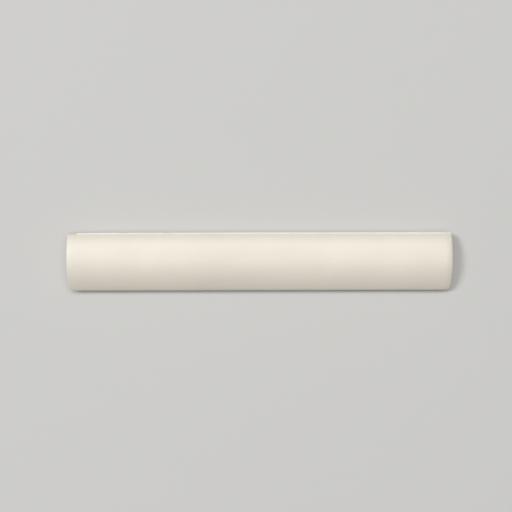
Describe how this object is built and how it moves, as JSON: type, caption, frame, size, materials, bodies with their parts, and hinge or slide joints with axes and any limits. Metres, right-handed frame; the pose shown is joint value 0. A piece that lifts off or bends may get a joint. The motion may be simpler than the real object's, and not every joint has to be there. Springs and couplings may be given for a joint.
{
  "type": "bullnose tile",
  "caption": "Long narrow glazed ceramic trim tile with a crowned face, one rounded nose edge and one square butt edge, and a grooved back for adhesive.",
  "frame": {"origin": "centre of the back, in the plane that is bedded on the wall", "axes": "+X along the tile, +Y towards the square butt edge, +Z out of the crowned face"},
  "size_m": [0.2, 0.0306, 0.012],
  "materials": {
    "glaze": "satin ivory glaze over a fired clay body that shows bare on the back and round the foot"
  },
  "bodies": {
    "root": {"bullnose_tile": "glaze"}
  },
  "joints": []
}
